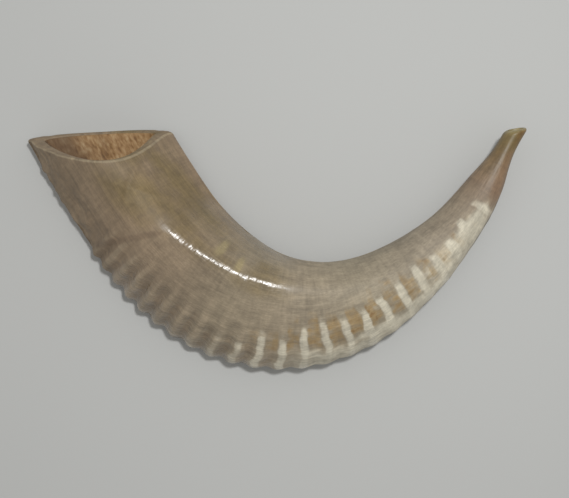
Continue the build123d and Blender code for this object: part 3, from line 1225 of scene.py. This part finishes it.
@dataclass(frozen=True)
class SolidTip(Piece):
    """The solid horn past the hollow, drilled through to the mouthpiece."""

    start: float = 0.76
    skin_rows: int = 130
    bore_rows: int = 6
    name: str = "horn_tip"
    node: str = "solid_tip"
    slot: str = "tip_horn"

    def surface(self) -> tuple[list[Rows], tuple[int, ...]]:
        """Lay the tip: out along the skin, back down the bore and the hollow's end."""
        skin = LINES.skin(places_between(self.start, FORM.tip_end, self.skin_rows))
        bore = [
            LINES.ring(LINES.bore_ring(place), place, 0.0)
            for place in np.linspace(FORM.tip_end, FORM.hollow_end, self.bore_rows)
        ]
        hollow = LINES.hollow(places_between(self.start, FORM.hollow_end, 3)).back()
        last_skin = len(skin.place) - 1
        first_hollow = last_skin + 1 + self.bore_rows
        creases = (0, last_skin, last_skin + 1, first_hollow - 1, first_hollow, -1)
        return [skin, *bore, hollow], creases


@dataclass(frozen=True)
class Mouthpiece(Piece):
    """The tip's end, cut on the slant, eased at its lip and cupped down to the bore."""

    rounding: float = 2.0
    skin_rows: int = 70
    edge_rows: int = 8
    face_rows: int = 5
    cup_rows: int = 12
    name: str = "horn_mouthpiece"
    node: str = "mouthpiece"
    slot: str = "mouthpiece_horn"

    def edge(self, turn: float) -> Rows:
        """Return one row of the lip's easing, from 0 at its foot to 90 on the cut."""
        centre, normal = FORM.lip()
        depth = self.rounding * (1 - np.sin(np.radians(turn)))
        inset = self.rounding * (1 - np.cos(np.radians(turn)))
        sunk = centre - normal * depth
        place = FORM.crossing(LINES.angle, (sunk, normal), FORM.tip_end, 1 + FORM.run_out)
        skin = LINES.skin(place[None], cut=turn / 90)
        xyz = skin.xyz + unit(sunk - skin.xyz) * inset
        return Rows(xyz, skin.place, skin.across, skin.up, skin.cut, skin.edge)

    def cup_ring(self, depth: float | None) -> Array:
        """Return a ring of the cup at a depth along the bore, or where it meets the cut.

        The cup narrows evenly from its radius at the lip's middle to the bore's radius.

        Args:
            depth: Distance below the lip's middle, or None for the cut.

        Returns:
            The ring's points.
        """
        centre, normal = FORM.lip()
        _, way = FORM.bore()
        right = unit(np.cross(way, np.array([0, 0, 1.0])))
        above = np.cross(right, way)
        turn = LINES.angle[:, None]
        spoke = np.cos(turn) * right + np.sin(turn) * above
        taper = (FORM.cup_radius - FORM.bore_radius) / FORM.cup_depth
        if depth is None:
            slope = (spoke @ normal) / (way @ normal)
            along = -FORM.cup_radius * slope / np.where(slope > 0, 1 + taper * slope, 1.0)
            radius = FORM.cup_radius + taper * np.minimum(along, 0.0)
        else:
            along = np.full(LINES.around, -depth)
            radius = np.full(LINES.around, FORM.cup_radius - taper * depth)
        return centre + way * along[:, None] + spoke * radius[:, None]

    def surface(self) -> tuple[list[Rows], tuple[int, ...]]:
        """Lay the mouthpiece: out to the lip, across its face, down the cup and back."""
        foot = self.edge(0.0)
        skin = LINES.skin(places_between(FORM.tip_end, foot.place[0], self.skin_rows))
        edge = [self.edge(turn) for turn in np.linspace(0, 90, self.edge_rows + 1)[1:]]
        outer, inner = edge[-1].xyz[0], self.cup_ring(None)
        face = [
            LINES.ring(outer + (inner - outer) * share, 1.0, 1.0)
            for share in np.linspace(0, 1, self.face_rows + 1)[1:]
        ]
        throat = self.cup_ring(FORM.cup_depth)
        # painted light: the cut's pale tone is held deep down the cup, over its shade
        cup = [
            LINES.ring(inner + (throat - inner) * share, 1.0, 1 - share**3)
            for share in np.linspace(0, 1, self.cup_rows + 1)[1:]
        ]
        bore = LINES.ring(LINES.bore_ring(FORM.tip_end), FORM.tip_end, 0.0)
        lip_row = len(skin.place) + self.edge_rows + self.face_rows - 1
        return [skin, *edge, *face, *cup, bore], (0, lip_row, -1)


@dataclass(frozen=True)
class InnerLining(Piece):
    """The rough layer that the bone core left on the inside of the wall."""

    clearance: float = 0.05
    thickness: float = 0.8
    pitting: float = 0.28
    inner_rows: int = 300
    outer_rows: int = 12
    name: str = "horn_inner_lining"
    node: str = "inner_lining"
    slot: str = "raw_inner_horn"

    def surface(self) -> tuple[list[Rows], tuple[int, ...]]:
        """Lay the lining: out along its back and back along its rough face."""
        faces = []
        for inset, count, pitting in (
            (self.clearance, self.outer_rows, 0.0),
            (self.clearance + self.thickness, self.inner_rows, self.pitting),
        ):
            centre, normal = FORM.mouth()
            cut = (centre - normal * self.thickness, normal)
            start = FORM.crossing(LINES.angle, cut, 0.2, -FORM.run_out, Layer.HOLLOW, inset)
            place = places_between(start, FORM.lining_end, count)
            faces.append(LINES.hollow(place, inset, pitting))
        back, rough = faces
        last_back = len(back.place) - 1
        return [back, rough.back()], (0, last_back, last_back + 1, -1)


WALLS = (
    RidgedWall("horn_lower_wall", "lower_ridged_wall", 0.20, 0.40, 200),
    RidgedWall("horn_middle_wall", "middle_ridged_wall", 0.40, 0.58, 180),
    RidgedWall("horn_upper_wall", "upper_ridged_wall", 0.58, 0.76, 150),
)


FRAME_ROWS = 600  # of the smooth skin whose box is laid over the CAD model's


def frame_shift() -> Array:
    """Find the move, in mm, from the formula's own origin to the frame's.

    The formula's smooth skin and the CAD model have the same box, so their middles in
    plan are laid over each other and the underside is set on the table.

    Returns:
        The move.
    """
    bell, lip = BellFlare(), Mouthpiece()
    centre, normal = FORM.mouth()
    start = FORM.crossing(LINES.angle, (centre, normal), bell.end, -FORM.run_out)
    place = places_between(start, lip.edge(0.0).place[0], FRAME_ROWS)
    angle = np.broadcast_to(LINES.angle, place.shape)
    skin = FORM.at_section(place, *FORM.outline(place, angle)).reshape(-1, 3)
    eased = [lip.edge(turn).xyz[0] for turn in np.linspace(0, 90, lip.edge_rows + 1)]
    points = np.concatenate([skin, *eased])
    low, high = np.array(CAD_BOX) / MM
    middle = (points.min(axis=0) + points.max(axis=0)) / 2
    shift = (low + high) / 2 - middle
    shift[2] = low[2] - points[:, 2].min()
    return shift


# ------------------------------------------------------------------ the studio


@dataclass(frozen=True)
class Studio:
    """A pale floor, a small lamp up and to the right, an even sky and a camera straight above."""

    floor_colour: str = "#bdbebc"
    floor_roughness: float = 0.95
    floor_size: float = 3.0
    camera_height: float = 0.530
    camera_aside: tuple[float, float] = (0.0056, -0.0005)
    lens: float = 59.72
    lamp_place: tuple[float, float, float] = (0.14, 0.19, 0.75)
    lamp_size: float = 0.07
    lamp_power: float = 3.3
    sky_colour: str = "#e3e2e0"
    sky_strength: float = 0.58

    def floor(self) -> None:
        """Lay the floor just under the horn: a wide square of woven-cloth grey."""
        half = self.floor_size / 2
        corners = [(-half, -half, 0.0), (half, -half, 0.0), (half, half, 0.0), (-half, half, 0.0)]
        mesh = bpy.data.meshes.new("floor")
        mesh.from_pydata(corners, [], [(0, 1, 2, 3)])
        sheet = bpy.data.objects.new("floor", mesh)
        bpy.context.scene.collection.objects.link(sheet)
        paint = bpy.data.materials.new("pale_floor")
        paint.use_nodes = True
        shader = paint.node_tree.nodes["Principled BSDF"]
        shader.inputs["Base Color"].default_value = linear(self.floor_colour)
        shader.inputs["Roughness"].default_value = self.floor_roughness
        mesh.materials.append(paint)

    def lamp(self, name: str, place: tuple[float, float, float], size: float, power: float) -> None:
        """Hang a square lamp that faces the middle of the horn."""
        light = bpy.data.lights.new(name, "AREA")
        light.size = size
        light.energy = power
        lamp = bpy.data.objects.new(name, light)
        way = -np.array(place)
        lamp.location = place
        lamp.rotation_euler = (
            float(np.arctan2(np.hypot(way[0], way[1]), -way[2])),
            0.0,
            float(np.arctan2(way[0], -way[1]) + np.pi),
        )
        bpy.context.scene.collection.objects.link(lamp)

    def sky(self) -> None:
        """Light the scene evenly from all round."""
        world = bpy.data.worlds.new("studio")
        world.use_nodes = True
        back = world.node_tree.nodes["Background"]
        back.inputs["Color"].default_value = linear(self.sky_colour)
        back.inputs["Strength"].default_value = self.sky_strength
        bpy.context.scene.world = world

    def camera(self) -> None:
        """Stand the camera over the horn, looking straight down."""
        eye = bpy.data.cameras.new("camera")
        eye.lens = self.lens
        holder = bpy.data.objects.new("camera", eye)
        holder.location = (*self.camera_aside, self.camera_height)
        bpy.context.scene.collection.objects.link(holder)
        bpy.context.scene.camera = holder

    def build(self) -> None:
        """Set up the floor, the lights, the camera and the view."""
        self.floor()
        self.sky()
        self.lamp("key_lamp", self.lamp_place, self.lamp_size, self.lamp_power)
        self.camera()
        bpy.context.scene.view_settings.view_transform = "Standard"


def main() -> None:
    """Build the horn's pieces in order, then the studio, and log the shift to the frame."""
    logging.basicConfig(level=logging.INFO, format="%(name)s %(message)s")
    shift = frame_shift()
    LOG.info("shift %s", np.round(shift, 3))
    polished, raw = PolishedHorn().material(), RawHorn().material()
    for part in (BellFlare(), *WALLS, SolidTip(), Mouthpiece()):
        part.build(shift, polished)
    InnerLining().build(shift, raw)
    Studio().build()
    bpy.context.view_layer.update()


if __name__ == "__main__":
    main()
